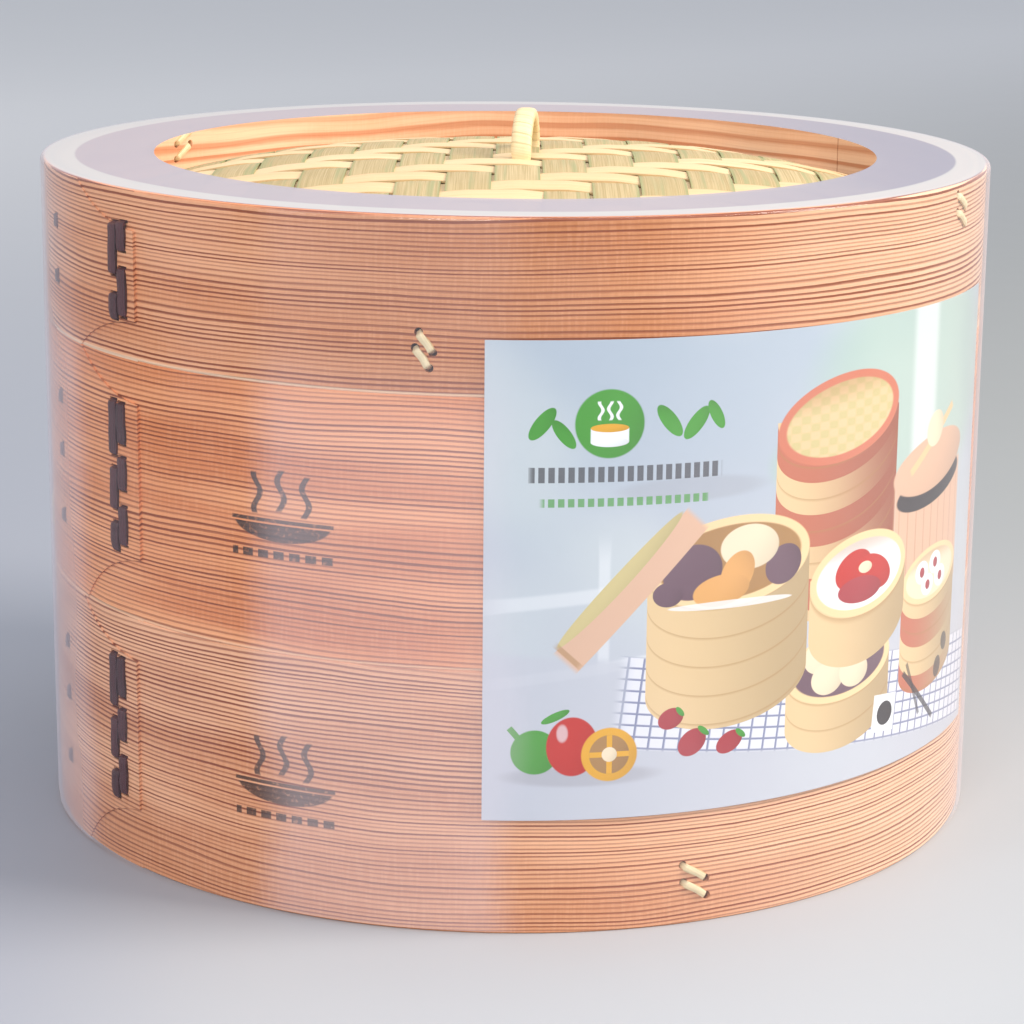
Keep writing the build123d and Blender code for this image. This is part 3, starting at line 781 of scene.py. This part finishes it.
# a made-up still life in millimetres from the label's lower left corner, back to front.
# disc and box: middle, half width and height, lean, paint, cover. pot: middle of the rim,
# half width and height of the rim, lean, depth of the wall, band height, paints, inside
labelItems = (
    ("disc", 150, 118, 50, 34, 0, "leaf", 0.6), ("disc", 96, 100, 12, 9, 0, "leaf", 0.5),
    ("box", 150, 122, 7, 40, 0, "white", 0.5), ("box", 28, 66, 26, 2, 6, "white", 0.4),
    ("box", 34, 45, 34, 1.6, 8, "white", 0.4), ("box", 34, 62, 1.6, 18, 0, "white", 0.4),
    ("disc", 60, 96, 22, 3.5, 0, "shadow", 0.25), ("box", 80, 14, 130, 30, -4, "table", 0.8),
    ("pot", 110.6, 111.6, 24.6, 12.9, 9, 46, 9.5, "red", "tan", "weave"),
    ("box", 157, 70, 22, 19, 0, "wood", 1), ("stave", 157, 70, 22, 19, 0, "redDark", 0.35),
    ("disc", 157, 84, 21, 6, 8, "black", 1), ("disc", 157, 91, 23, 8.5, 8, "wood", 1),
    ("box", 157, 98, 16, 1.2, 32, "tan", 1), ("disc", 158, 101, 6, 5, 40, "bun", 1),
    ("cloth", 117, 25, 78, 13.5, -7, "cloth", 1),
    ("pot", 159.8, 55.7, 18.8, 8.7, 4, 28, 9, "tan", "red", "bun"),
    ("disc", 153, 57, 4.2, 3.6, 0, "white", 1), ("disc", 162, 58.5, 4.2, 3.6, 0, "white", 1),
    ("disc", 157, 52.5, 4.2, 3.4, 0, "white", 1), ("disc", 166, 53.5, 4.2, 3.4, 0, "white", 1),
    ("disc", 153, 57, 1.5, 1.6, 0, "berry", 1), ("disc", 162, 58.5, 1.5, 1.6, 0, "berry", 1),
    ("disc", 157, 52.5, 1.5, 1.5, 0, "berry", 1), ("disc", 166, 53.5, 1.5, 1.5, 0, "berry", 1),
    ("pot", 113.5, 36.7, 21.8, 11, 4, 15, 8, "tan", "tan", "plum"),
    ("disc", 104, 40.5, 6, 5, 0, "bun", 1), ("disc", 114.5, 41, 6, 5, 0, "bun", 1),
    ("disc", 107.5, 33.5, 6.4, 5, 0, "bun", 1), ("disc", 118.5, 34, 6.2, 5, 0, "bun", 1),
    ("pot", 120.7, 63.3, 21.3, 12.6, 5, 15, 20, "tan", "tan", "white"),
    ("disc", 117, 65, 8, 5.6, 20, "pepper", 1), ("disc", 126, 63, 8.4, 5.2, -20, "pepper", 1),
    ("disc", 120, 58.5, 9.5, 4, 0, "berry", 1), ("disc", 122, 65, 3, 1.8, 0, "bun", 1),
    ("pot", 72.6, 73.7, 26.2, 13.2, 5, 36, 8.6, "tan", "tan", "tanDark"),
    ("disc", 60, 71.5, 9.2, 8, 20, "plum", 1), ("disc", 89.5, 71, 6.6, 5.6, 35, "plum", 1),
    ("disc", 78, 77.5, 9.6, 6.6, 0, "bun", 1), ("disc", 74, 70, 7, 5, 60, "gold", 1),
    ("disc", 69, 65.5, 9, 4.6, 8, "gold", 1), ("disc", 52.5, 65.5, 4.5, 3.6, 0, "plum", 1),
    ("disc", 72.6, 61.2, 20, 1.2, 0, "white", 0.7),
    ("box", 42.2, 67.2, 27.5, 4.4, 47, "wood", 1), ("disc", 38.6, 70.4, 26, 2.3, 47, "weave", 1),
    ("box", 24, 48.8, 4.5, 0.8, -43, "tanDark", 0.6),
    ("box", 133.8, 17.4, 5.6, 5.8, -6, "white", 1), ("disc", 134.2, 17.2, 3.9, 3.7, 20, "black", 1),
    ("box", 154, 18, 14, 0.9, -42, "black", 0.85), ("box", 150, 21, 10, 0.7, -64, "black", 0.7),
    ("disc", 167, 24, 2.6, 3.4, -20, "black", 0.8), ("disc", 172, 31, 2.4, 3, 10, "black", 0.8),
    ("disc", 28, 13, 22, 3, 0, "shadow", 0.35), ("disc", 14.8, 20.5, 6.8, 6.6, 0, "green", 1),
    ("box", 9.4, 25.6, 2.8, 0.9, -50, "green", 1), ("disc", 25.5, 22, 7.4, 8.8, 0, "pepper", 1),
    ("disc", 20.6, 31, 4.4, 1.2, 25, "green", 1), ("disc", 22.6, 26, 1.6, 2.6, 0, "white", 0.5),
    ("disc", 36.2, 19.3, 8.1, 8, 0, "yellow", 1), ("disc", 36.2, 19.3, 5.8, 5.8, 0, "tanDark", 1),
    ("box", 36.2, 19.3, 0.8, 5.8, 0, "yellow", 1), ("box", 36.2, 19.3, 0.8, 5.8, 90, "yellow", 1),
    ("disc", 36.2, 19.3, 2.2, 2.2, 0, "bun", 1),
    ("disc", 54.2, 28.7, 4, 3, 25, "berry", 1), ("disc", 57, 30.6, 1.8, 0.8, -50, "green", 1),
    ("disc", 60.9, 21, 4.8, 3.6, 40, "berry", 1), ("disc", 64.4, 24.2, 2.2, 0.9, -40, "green", 1),
    ("disc", 72.8, 19.8, 4.6, 3, 30, "berry", 1), ("disc", 76.4, 22, 2, 0.9, -40, "green", 1),
    ("disc", 34.8, 115.8, 9.8, 9.8, 0, "green", 1), ("box", 34.8, 112.6, 5.4, 1.9, 0, "white", 1),
    ("disc", 34.8, 110.6, 5.4, 1.4, 0, "white", 1), ("disc", 34.8, 114.6, 5.4, 1.2, 0, "yellow", 1),
    ("disc", 16, 116, 5.6, 2.2, 52, "green", 1), ("disc", 22, 113, 5, 1.9, 128, "green", 1),
    ("disc", 52, 116, 5.6, 2.2, 128, "green", 1), ("disc", 60, 115, 5.6, 2.2, 52, "green", 1),
    ("disc", 66, 117, 4.6, 1.8, 118, "green", 1), ("dots", 40, 101.4, 27.5, 2.2, 0, "black", 0.8),
    ("dots", 40, 93.4, 24, 1.2, 0, "green", 0.8),
)


class LabelPlace:
    # where a point of the label is, seen from the middle of one item
    def __init__(self, u, v, item):
        c, s = math.cos(math.radians(item[5])), math.sin(math.radians(item[5]))
        self.u = (u - item[1]) * (c / item[3]) + (v - item[2]) * (s / item[3])
        self.v = (v - item[2]) * (c / item[4]) - (u - item[1]) * (s / item[4])

    def disc(self, soft=0.05):
        away = self.u * self.u + self.v * self.v
        return away.rise(1.0 - soft, 1.0 + soft, 1.0, 0.0)

    def box(self, soft=0.04):
        away = self.u.math("ABSOLUTE").math("MAXIMUM", self.v.math("ABSOLUTE"))
        return away.rise(1.0 - soft, 1.0 + soft, 1.0, 0.0)


def shaded(place, tone, how=0.5):
    # rounder towards the lower right, as if lit from the upper left
    dim = tuple(value * 0.5 for value in tone[:3]) + (1.0,)
    side = place.u * 0.35 - place.v * 0.3 + place.u * place.u * 0.25
    return (side.rise(-0.2, 1.0) * how).blend(tone, dim)


def drawPot(colour, u, v, item):
    kind, cu, cv, ru, rv, lean, deep, band, first, second, inside = item
    first, second = paint(labelPaint[first]), paint(labelPaint[second])
    place = LabelPlace(u, v, item)
    du = (u - cu) / ru
    bulge = (1.0 - du * du).math("MAXIMUM", 0.0).math("SQRT") * rv
    down = cv - (v - du * (math.tan(math.radians(lean)) * ru)) - bulge
    wall = (1.0 - (du.math("ABSOLUTE") > 1.0)) * (down < deep) * ((v * -1.0 + cv) > -1.0)
    stripe = down / band
    paints = (stripe.math("PINGPONG", 1.0) > 0.5).blend(first, second) if first != second else None
    crease = stripe.math("FRACT").rise(0.0, 0.12, 1.0, 0.0) * 0.5
    base = du.rise(-0.9, 1.1).blend(paints or first, tuple(c * 0.62 for c in first[:3]) + (1.0,))
    base = crease.blend(base, paint(labelPaint["tanDark"]))
    colour = wall.blend(colour, base)
    colour = place.disc(0.03).blend(colour, tuple(min(1.0, c * 1.15) for c in first[:3]) + (1.0,))
    inner = LabelPlace(u, v, (kind, cu, cv, ru * 0.88, rv * 0.82, lean))
    fill = paint(labelPaint[inside])
    if inside == "weave":
        knit = ((u * 0.9).math("SINE") * (v * 1.3).math("SINE")).rise(-0.4, 0.4)
        fill = knit.blend(fill, paint(labelPaint["tan"]))
    rim = inner.v.rise(0.2, 1.0) * 0.5
    return inner.disc(0.05).blend(colour, rim.blend(fill, paint(labelPaint["tanDark"])))


steamLook = {"across": 34.8, "up": 119.5, "shifts": (-2.6, 0.0, 2.6)}
labelEnds = (-3.0, 72.0)  # degrees from the front
labelSeams = (0.0, 44.0, 86.0, 128.0, 200.0)  # each stretch of the print has its own material


def reaches(item, low, high):
    lean = math.radians(item[5])
    half = 1.25 * (abs(item[3] * math.cos(lean)) + abs(item[4] * math.sin(lean)))
    return item[1] + half > low and item[1] - half < high


def labelMaterial(low, high):
    material, place = startMaterial("label_print_%d" % low)
    x, y, z = place.parts()
    turn = x.math("ARCTAN2", y * -1.0)
    u = (turn - math.radians(labelEnds[0])) * (hoopRadius / mm)
    v = z - labelLow.z / mm
    tall = (labelHigh.z - labelLow.z) / mm
    wash = place.joined(u * 0.014, v * 0.014, 0.0).noise(1.0, 1.0)
    colour = (v / tall).rise(0.1, 1.0).blend(paint(labelPaint["table"]), paint(labelPaint["paper"]))
    colour = wash.rise(0.42, 0.62).blend(colour, paint(labelPaint["light"]))
    for item in labelItems:
        if not reaches(item, low, high):
            continue
        if item[0] == "pot":
            colour = drawPot(colour, u, v, item)
            continue
        kind, tint, cover = item[0], paint(labelPaint[item[6]]), item[7]
        spot = LabelPlace(u, v, item)
        soft = 0.45 if cover < 0.7 else 0.06
        inside = (spot.disc(soft) if kind == "disc" else spot.box(soft * 0.7)) * cover
        fill = tint
        if kind == "cloth":
            wide = (spot.u * 17.0).math("FRACT").rise(0.1, 0.2, 1.0, 0.0)
            deep = (spot.v * 4.0).math("FRACT").rise(0.12, 0.24, 1.0, 0.0)
            fill = (wide.math("MAXIMUM", deep) * 0.8).blend(tint, paint(labelPaint["check"]))
        elif kind == "stave":
            inside = inside * (spot.u * 4.5).math("FRACT").rise(0.0, 0.2, 1.0, 0.0)
        elif kind == "dots":
            inside = inside * (spot.u * item[3] * 0.36).math("FRACT").rise(0.6, 0.7, 1.0, 0.0)
        elif cover == 1 and kind == "disc":
            fill = shaded(spot, tint)
        colour = inside.blend(colour, fill)
    if low < steamLook["across"]:
        # steam rising in the green disc, the label's only mark
        tall = (v - steamLook["up"]).math("ABSOLUTE").rise(2.4, 2.9, 1.0, 0.0)
        for shift in steamLook["shifts"]:
            sway = (v * 1.4 + shift).math("SINE") * 0.5
            line = (u - (steamLook["across"] + shift) - sway).math("ABSOLUTE").rise(0.35, 0.6, 1.0, 0.0)
            colour = (line * tall).blend(colour, paint(labelPaint["white"]))
    names = {"Base_Color": colour, "Roughness": 0.32}
    names["Normal"] = place.noise(0.03, 1.0).bump(0.0004, 0.3)
    return endMaterial(material, principled(place, **names))


def labelBack():
    # the plain side of the paper, seen when the film is off
    material, place = startMaterial("label_back")
    cloudy = place.noise(0.05, 2.0)
    colour = cloudy.rise(0.35, 0.65).blend(paint("#e4e6e8"), paint("#d6d9dc"))
    return endMaterial(material, principled(place, Base_Color=colour, Roughness=0.6 + cloudy * 0.1))


def makeLabel():
    # a bent sheet between the film and the wood
    thick = 0.12 * mm
    radius = hoopRadius + 1.0 * mm
    left, right = (math.radians(end) for end in labelEnds)
    across, up = 197, 24

    def sheetPoint(i, j, side):
        turn = left + (right - left) * i / across
        z = labelLow.z + (labelHigh.z - labelLow.z) * j / up
        r = radius + thick * side
        return (r * math.sin(turn), -r * math.cos(turn), z)

    verts, faces = slab(across + 1, up + 1, sheetPoint)
    prints = [labelMaterial(low, high) for low, high in zip(labelSeams, labelSeams[1:])]
    piece = meshPiece("film_label_print", verts, faces, *prints, labelBack())
    for face in piece.data.polygons:
        u = (math.atan2(face.center.x, -face.center.y) - left) * hoopRadius / mm
        outside = math.hypot(face.center.x, face.center.y) > radius + thick * 0.8
        face.material_index = sum(u > seam for seam in labelSeams[1:-1]) if outside else len(prints)
    return finishPiece(piece, "film", "label", "film_label")


# shrink film

filmLook = {
    "gap": 1.22 * mm,  # off the hoops, over the label
    "lapCentre": -58.0, "lapHalf": 18.0, "lapSwell": 0.85 * mm,
    "round": 1.4 * mm, "above": 0.5 * mm, "hole": 115.5 * mm,
    "hazeAndGlare": 0.008, "tint": "#f4e9ee", "rim": "#cfccca", "top": "#b7abb3", "topRightShade": "#9794a4",
    "milkAndGlare": {"edge": 0.9, "top": 0.6, "rim": 0.2},  # how cloudy each part is; on the rim the extra is a painted highlight
    "glint": 0.45, "glintLeast": 0.022,
    # painted highlight bands up the wall, reflections painted in as cloudiness: azimuth in degrees, half
    # width, soft edge, strength
    "bands": ((-14.0, 11.0, 6.0, 0.2), (40.0, 20.0, 14.0, 0.03), (-80.0, 17.0, 7.0, 0.22)),
}



def makeFilm(material):
    steps = 320
    base = hoopRadius + filmLook["gap"]
    topZ = rimTop + filmLook["above"]
    bend = filmLook["round"]
    profile = [(0.0, filmLow.z)]
    wallRows = 46
    for i in range(1, wallRows + 1):
        profile.append((0.0, filmLow.z + (topZ - bend - filmLow.z) * i / wallRows))
    for i in range(1, 7):
        a = math.pi / 2 * i / 6
        profile.append((-bend * (1 - math.cos(a)), topZ - bend + bend * math.sin(a)))
    inward = base - bend - filmLook["hole"]
    for i in range(1, 17):
        profile.append((-bend - inward * i / 16, topZ))
    verts, faces = [], []
    luck = random.Random(12)
    ripples = [(luck.uniform(0, 6.28), luck.uniform(0, 6.28), luck.uniform(0.5, 1.0)) for _ in range(9)]
    for k in range(steps):
        turn = 2 * math.pi * k / steps - math.pi
        degrees = math.degrees(turn)
        near = max(0.0, 1 - ((degrees - filmLook["lapCentre"]) / filmLook["lapHalf"]) ** 2)
        swell = filmLook["lapSwell"] * near ** 0.5 if near else 0.0
        for index, (inset, z) in enumerate(profile):
            # shallow ripples
            dent = 0.0
            share = (z - filmLow.z) / (topZ - filmLow.z)
            for n, (p, q, w) in enumerate(ripples):
                dent += w * math.sin(turn * (2 + n) + p) * math.sin(share * (3 + 1.7 * n) + q)
            dent *= 0.022 * mm
            flat = inset < -bend * 1.01
            r = base + inset + (0 if flat else swell * min(1.0, (topZ - z) / (9 * mm)) + dent)
            lift = dent * 1.2 if flat else 0.0
            if flat and index == len(profile) - 1:
                lift += 0.15 * mm
            verts.append((r * math.sin(turn), -r * math.cos(turn), z + lift))
    rows = len(profile)
    for k in range(steps):
        a, b = k * rows, ((k + 1) % steps) * rows
        for j in range(rows - 1):
            faces.append((a + j, b + j, b + j + 1, a + j + 1))
    piece = meshPiece("film_skin", verts, faces, material)
    piece.visible_shadow = False  # the lamps shine through it
    return finishPiece(piece, "film", "film", "film_wall", "film_collar", smooth=60.0)


def filmMaterial():
    material, place = startMaterial("clear_film")
    x, y, z = place.parts()
    outward = place.scaled(1, 1, 0).vector("LENGTH", out=1)
    turn = x.math("ARCTAN2", y * -1.0) * (180 / math.pi)
    onTop = z.rise(rimTop / mm + 0.1, rimTop / mm + 0.4) * outward.rise(149.0, 150.3, 1.0, 0.0)
    # painted highlight: the film whiter where it lies on the rim
    onRim = onTop * outward.rise(139.8, 140.8)
    facing = place.node("ShaderNodeLayerWeight", sockets={"Blend": 0.5}, out=1)
    cloud = place.noise(0.016, 3.0, 0.55).rise(0.42, 0.68)
    wobble = (place.noise(0.011, 2.0) - 0.5) * 30.0
    hazeAndGlare = cloud * 0.03 + filmLook["hazeAndGlare"]
    lower = z.rise(lidLow.z / mm - 12.0, lidLow.z / mm + 14.0, 1.0, 0.3)
    # painted highlights: pale bands up the wall, weaker on the lid, added to the film's own cloudiness
    for middle, half, edge, strength in filmLook["bands"]:
        away = (turn + wobble * 0.35 - middle).math("ABSOLUTE")
        hazeAndGlare = hazeAndGlare + away.rise(half, half + edge, strength, 0.0) * lower
    cloudAndGlare = filmLook["milkAndGlare"]
    hazeAndGlare = hazeAndGlare + facing ** 7.0 * cloudAndGlare["edge"] + onTop * cloudAndGlare["top"] + onRim * cloudAndGlare["rim"]
    hazeAndGlare = hazeAndGlare.math("MINIMUM", 0.95)
    # painted shade: the film's top darker and bluer towards the right
    top = x.rise(20.0, 150.0).blend(paint(filmLook["top"]), paint(filmLook["topRightShade"]))
    colour = onTop.blend(paint(filmLook["tint"]), top)
    colour = onRim.blend(colour, paint(filmLook["rim"]))
    crease = place.joined(turn * 0.16, z * 0.01, 0.0).noise(1.0, 3.0, 0.6).bump(0.0008, 0.5)
    milkAndGlare = principled(place, Base_Color=colour, Roughness=0.35, Specular_IOR_Level=0.2)
    clear = place.node("ShaderNodeBsdfTransparent")
    veil = place.node("ShaderNodeMixShader", sockets={0: hazeAndGlare, 1: clear, 2: milkAndGlare})
    shine = place.node("ShaderNodeBsdfGlossy", sockets={"Roughness": 0.08, "Normal": crease})
    glint = facing ** 4.0 * filmLook["glint"] + filmLook["glintLeast"]
    film = place.node("ShaderNodeMixShader", sockets={0: glint, 1: veil, 2: shine})
    return endMaterial(material, film)


# the room

# floor colours: the paler far colour is painted light, left a painted shadow, right painted shade
roomLook = {
    "near": "#acb0b5", "far": "#e3e4e6", "left": "#7c8194", "right": "#77786c",
    "sky": "#ced2da", "skyPower": 0.9,
}


def makeRoom():
    bpy.ops.mesh.primitive_grid_add(x_subdivisions=2, y_subdivisions=2, size=16.0)
    floor = bpy.context.object
    floor.name = "floor"
    material, place = startMaterial("floor_paper")
    x, y, z = place.parts()
    # painted light: the floor paler with distance, where the lamps' light falls off
    far = (y - x * 0.9).rise(300.0, 2600.0)
    colour = far.blend(paint(roomLook["near"]), paint(roomLook["far"]))
    # painted shadow: the object's shadow cast to the left by the key lamp
    left = x.rise(-160.0, -60.0, 0.45, 0.0) * (1.0 - far)
    colour = left.blend(colour, paint(roomLook["left"]))
    # painted shade: the floor darker towards the right, where the key lamp lights it most
    right = (x + y * 0.2).rise(0.0, 400.0, 0.0, 0.42) * (1.0 - far)
    colour = right.blend(colour, paint(roomLook["right"]))
    speck = place.noise(0.02, 2.0)
    names = {"Base_Color": colour, "Roughness": 0.55 + speck * 0.1}
    floor.data.materials.append(endMaterial(material, principled(place, **names)))
    world = bpy.data.worlds.new("studio")
    bpy.context.scene.world = world
    world.use_nodes = True
    sky = world.node_tree.nodes["Background"]
    sky.inputs["Color"].default_value = paint(roomLook["sky"])
    sky.inputs["Strength"].default_value = roomLook["skyPower"]


lampLook = {
    "key": {"at": (1.35, -0.25, 1.2), "size": (0.7, 1.0), "power": 36.0, "tint": "#fff6ec"},
    "left": {"at": (-1.5, -1.1, 0.8), "size": (0.5, 1.4), "power": 5.0, "tint": "#eef2ff"},
    "front": {"at": (-0.5, -1.85, 1.1), "size": (0.7, 0.7), "power": 18.0, "tint": "#ffffff"},
    "top": {"at": (0.2, 0.1, 1.8), "size": (1.0, 0.8), "power": 9.0, "tint": "#ffffff"},
}


def makeLamps():
    target = Vector((0, 0, rimTop * 0.5))
    for name, look in lampLook.items():
        light = bpy.data.lights.new(name, "AREA")
        light.shape = "RECTANGLE"
        light.size, light.size_y = look["size"]
        light.energy = look["power"]
        light.color = paint(look["tint"])[:3]
        lamp = bpy.data.objects.new(name, light)
        lamp.location = look["at"]
        lamp.rotation_euler = (target - lamp.location).to_track_quat("-Z", "Y").to_euler()
        bpy.context.scene.collection.objects.link(lamp)


cameraLook = {"back": 940.1 * mm, "up": 321.8 * mm, "dip": 13.94, "roll": 0.54, "lens": 102.63}


def makeCamera():
    camera = bpy.data.cameras.new("camera")
    camera.lens = cameraLook["lens"]
    camera.sensor_width = 36.0
    camera.clip_end = 50.0
    holder = bpy.data.objects.new("camera", camera)
    holder.location = (0, -cameraLook["back"], cameraLook["up"])
    level = Matrix.Rotation(math.radians(90 - cameraLook["dip"]), 4, "X")
    roll = Matrix.Rotation(math.radians(cameraLook["roll"]), 4, "Z")
    holder.rotation_euler = (level @ roll).to_euler()
    bpy.context.scene.collection.objects.link(holder)
    bpy.context.scene.camera = holder


makeCamera()
makeRoom()
makeLamps()
bpy.context.scene.view_settings.view_transform = "Standard"
print("room, lamps and camera are up")

firLid = firMaterial("lid", lidLow.z)
firUpper = firMaterial("upper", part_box("upper_tier_outer_hoop")[0].z)
firLower = firMaterial("lower", hoopLow.z)
firInner = firMaterial("inner")
bamboo = solidBamboo()
strips = {name: stripMaterial(name + "_strip", look) for name, look in stripLooks.items()}
dress("lid_outer_hoop", firLid)
dress("upper_tier_outer_hoop", firUpper)
dress("lower_tier_outer_hoop", firLower)
for node in ("lid_inner_hoop", "lid_clamp_ring"):
    dress(node, firInner)
for tier in ("lower_tier", "upper_tier"):
    dress(tier + "_liner_hoop", firInner)
    dress(tier + "_support_ring", firInner)
    dress(tier + "_bearers", bamboo)
    dress(tier + "_floor_pegs", bamboo)
for node in ("lid_front_rib", "lid_back_rib", "lid_handle_keeper", "lid_keeper_pegs", "lid_handle_core"):
    dress(node, bamboo)
dress("lid_leaf_lining", leafMaterial())
print("fir and bamboo are on the CAD nodes")

weave = weaveTree("twill", strips["weft"], strips["warp"], 7)
makeWeave("lid_twill", weave, "lid_outer_weave", weaveLow, weaveHigh, "weave", {})
under = {"Strips": 15, "Pitch": 0.019, "Width": 0.0175, "Turn": math.pi / 4, "Shift": 0.0}
makeWeave("lid_under_twill", weave, "lid_inner_weave", innerLow, innerHigh, "weave", under)
print("the lid's panels are woven")

slats = slatTree("slats", strips["slat"], 21)
for tier in ("lower_tier", "upper_tier"):
    slatLow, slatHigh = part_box(tier + "_floor_slats")
    values = {"Floor": slatLow.z, "Thick": slatHigh.z - slatLow.z, "Reach": slatHigh.y}
    piece = runTree(tier + "_slats", slats, values)
    finishPiece(piece, tier, "bamboo_slat", tier + "_floor_slats", smooth=40.0)
print("the floors are slatted")

cane = strapTree("cane straps", strips["lacing"], 31)
split = strapTree("bamboo straps", strips["tie"], 33)
for body in ("lower_tier", "upper_tier", "lid"):
    stem = body + "_hoop_"
    flat = {"Thick": 0.0007, "Bulge": 0.0003, "Bend": 0.86}
    makeStraps(stem + "stitches", cane, body, "lacing", [stem + "lacing"], flat)
    makeStraps(stem + "dots", cane, body, "lacing", [stem + "tacks"], {})
ties = {"lower_tier": ["ring_ties"], "upper_tier": ["ring_ties"], "lid": ["upper_ties", "lower_ties"]}
for body, kinds in ties.items():
    for kind in kinds:
        node = body + "_" + kind
        makeStraps(node + "_outside", split, body, "bamboo_tie", [node], {})
        back = {"Dive": -0.002, "Bulge": -0.0002, "Crown": -0.0003, "Lift": 0.00035}
        makeStraps(node + "_inside", split, body, "bamboo_tie", [node], back, True, False)
makeWrap(strips["wrap"])
print("laced, tied and wrapped")

makeLabel()
makeFilm(filmMaterial())
print("label and film are on")
